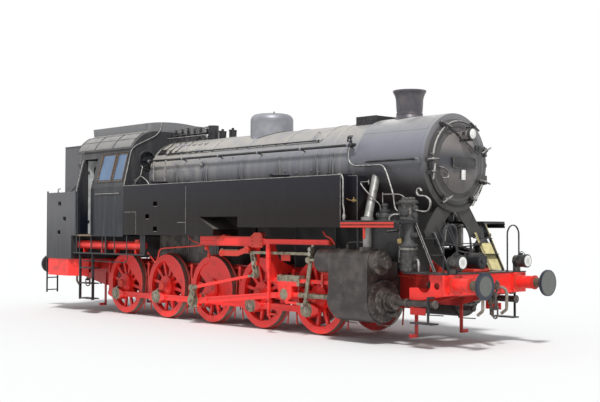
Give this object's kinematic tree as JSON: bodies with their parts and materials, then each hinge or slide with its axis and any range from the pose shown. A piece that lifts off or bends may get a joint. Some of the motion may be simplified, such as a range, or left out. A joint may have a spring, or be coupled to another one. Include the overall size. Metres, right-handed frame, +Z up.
{
  "type": "steam locomotive",
  "caption": "Side-tank steam locomotive with outside cylinders, coupled wheels and rods that turn together, enclosed cab with hinged doors, coal bunker and hinged smokebox door.",
  "frame": {"origin": "lowest point of the wheel flanges, on the centre line, halfway between the buffer faces", "axes": "+X forward, +Y left, +Z up; stands as parked, level"},
  "size_m": [14.06, 3.122, 4.54],
  "materials": {
    "red_paint": "gloss signal red with road dust",
    "black_paint": "satin black",
    "front_grey": "matt grey-black heat paint",
    "rod_steel": "bright steel with an oily film",
    "cast_iron": "painted casting",
    "tyre_steel": "rolled bright tread, painted side",
    "hook_steel": "dark forged steel",
    "buffer_paint": "greased dark face",
    "pipe_silver": "dull grey lagging",
    "door_grey": "light grey inner face",
    "lamp_grey": "satin black",
    "floor_wood": "worn boards",
    "glass": "clear",
    "lens_glass": "pressed lens",
    "hose_rubber": "matt"
  },
  "bodies": {
    "engine": {"frame_plates": "red_paint", "suspension": "red_paint", "brake_gear": "red_paint", "buffer_beams": "red_paint", "buffer_heads": "buffer_paint", "draw_gear": "hook_steel", "boiler": "black_paint", "ash_pan": "black_paint", "smokebox": "black_paint", "chimney": "black_paint", "steam_dome": "black_paint", "boiler_fittings": "black_paint", "front_drum": "black_paint", "side_tank_right": "black_paint", "side_tank_left": "black_paint", "platforms": "red_paint", "steam_pipes": "pipe_silver", "air_pump": "cast_iron", "feed_pump": "cast_iron", "cab_walls": "black_paint", "cab_floor": "floor_wood", "cab_roof": "black_paint", "window_glass": "glass", "backhead": "cast_iron", "bunker": "black_paint", "rear_skirts": "red_paint", "air_reservoirs": "red_paint", "steps": "black_paint", "rail_guards": "red_paint", "handrails": "black_paint", "lamps": "lamp_grey", "lamp_lenses": "lens_glass", "brake_hoses": "hose_rubber", "cylinder_right": "black_paint", "cylinder_left": "black_paint", "motion_frame_right": "red_paint", "motion_frame_left": "red_paint", "valve_gear": "rod_steel"},
    "wheelset_1": {"wheels_1": "red_paint", "tyres_1": "tyre_steel"},
    "wheelset_2": {"wheels_2": "red_paint", "tyres_2": "tyre_steel"},
    "wheelset_3": {"wheels_3": "red_paint", "tyres_3": "tyre_steel", "return_cranks": "rod_steel"},
    "wheelset_4": {"wheels_4": "red_paint", "tyres_4": "tyre_steel"},
    "wheelset_5": {"wheels_5": "red_paint", "tyres_5": "tyre_steel"},
    "coupling_rod_right": {"coupling_rod_right": "red_paint"},
    "eccentric_rod_right": {"eccentric_rod_right": "rod_steel"},
    "crosshead_right": {"crosshead_right": "rod_steel"},
    "main_rod_right": {"main_rod_right": "red_paint"},
    "coupling_rod_left": {"coupling_rod_left": "red_paint"},
    "eccentric_rod_left": {"eccentric_rod_left": "rod_steel"},
    "crosshead_left": {"crosshead_left": "rod_steel"},
    "main_rod_left": {"main_rod_left": "red_paint"},
    "cab_door_left": {"cab_door_left": "door_grey"},
    "cab_door_right": {"cab_door_right": "door_grey"},
    "smokebox_door": {"smokebox_door": "front_grey"}
  },
  "joints": [
    {"name": "wheelset_3_spin", "type": "hinge", "parent": "engine", "child": "wheelset_3", "pos_m": [-0.193, 0, 0.728], "axis": [0, 1, 0], "continuous": true},
    {"name": "wheelset_1_spin", "type": "hinge", "parent": "engine", "child": "wheelset_1", "pos_m": [3.107, 0, 0.728], "axis": [0, 1, 0], "continuous": true},
    {"name": "wheelset_2_spin", "type": "hinge", "parent": "engine", "child": "wheelset_2", "pos_m": [1.457, 0, 0.728], "axis": [0, 1, 0], "continuous": true},
    {"name": "wheelset_4_spin", "type": "hinge", "parent": "engine", "child": "wheelset_4", "pos_m": [-1.843, 0, 0.728], "axis": [0, 1, 0], "continuous": true},
    {"name": "wheelset_5_spin", "type": "hinge", "parent": "engine", "child": "wheelset_5", "pos_m": [-3.493, 0, 0.728], "axis": [0, 1, 0], "continuous": true},
    {"name": "coupling_rod_right_pivot", "type": "hinge", "parent": "wheelset_3", "child": "coupling_rod_right", "pos_m": [-0.4095, -0.915, 0.47895], "axis": [0, 1, 0], "continuous": true},
    {"name": "eccentric_rod_right_pivot", "type": "hinge", "parent": "wheelset_3", "child": "eccentric_rod_right", "pos_m": [-0.29569, -1.266, 0.76742], "axis": [0, 1, 0], "continuous": true},
    {"name": "crosshead_right_slide", "type": "slide", "parent": "engine", "child": "crosshead_right", "axis": [1, 0, 0], "range_m": [-0.1002, 0.5598]},
    {"name": "main_rod_right_pivot", "type": "hinge", "parent": "crosshead_right", "child": "main_rod_right", "pos_m": [2.51704, -1.115, 0.76], "axis": [0, 1, 0], "range_deg": [-1.59, 11.3]},
    {"name": "coupling_rod_left_pivot", "type": "hinge", "parent": "wheelset_3", "child": "coupling_rod_left", "pos_m": [0.05605, 0.915, 0.5115], "axis": [0, 1, 0], "continuous": true},
    {"name": "eccentric_rod_left_pivot", "type": "hinge", "parent": "wheelset_3", "child": "eccentric_rod_left", "pos_m": [-0.23242, 1.266, 0.62531], "axis": [0, 1, 0], "continuous": true},
    {"name": "crosshead_left_slide", "type": "slide", "parent": "engine", "child": "crosshead_left", "axis": [1, 0, 0], "range_m": [-0.5687, 0.0913]},
    {"name": "main_rod_left_pivot", "type": "hinge", "parent": "crosshead_left", "child": "main_rod_left", "pos_m": [2.98553, 1.115, 0.76], "axis": [0, 1, 0], "range_deg": [-2.22, 10.67]},
    {"name": "cab_door_right_hinge", "type": "hinge", "parent": "engine", "child": "cab_door_right", "pos_m": [-4.472, -1.247, 2.74], "axis": [0, 0, 1], "range_deg": [-60, 30]},
    {"name": "cab_door_left_hinge", "type": "hinge", "parent": "engine", "child": "cab_door_left", "pos_m": [-4.472, 1.247, 2.74], "axis": [0, 0, -1], "range_deg": [-60, 30]},
    {"name": "smokebox_door_hinge", "type": "hinge", "parent": "engine", "child": "smokebox_door", "pos_m": [5.748, 0.8, 3.171], "axis": [0, 0, 1], "range_deg": [0, 120]}
  ],
  "couplings": [
    {"joint": "wheelset_1_spin", "follows": "wheelset_3_spin", "ratio": 1},
    {"joint": "wheelset_2_spin", "follows": "wheelset_3_spin", "ratio": 1},
    {"joint": "wheelset_4_spin", "follows": "wheelset_3_spin", "ratio": 1},
    {"joint": "wheelset_5_spin", "follows": "wheelset_3_spin", "ratio": 1},
    {"joint": "coupling_rod_right_pivot", "follows": "wheelset_3_spin", "ratio": -1},
    {"joint": "eccentric_rod_right_pivot", "follows": "wheelset_3_spin", "ratio": -1},
    {"joint": "coupling_rod_left_pivot", "follows": "wheelset_3_spin", "ratio": -1},
    {"joint": "eccentric_rod_left_pivot", "follows": "wheelset_3_spin", "ratio": -1}
  ]
}
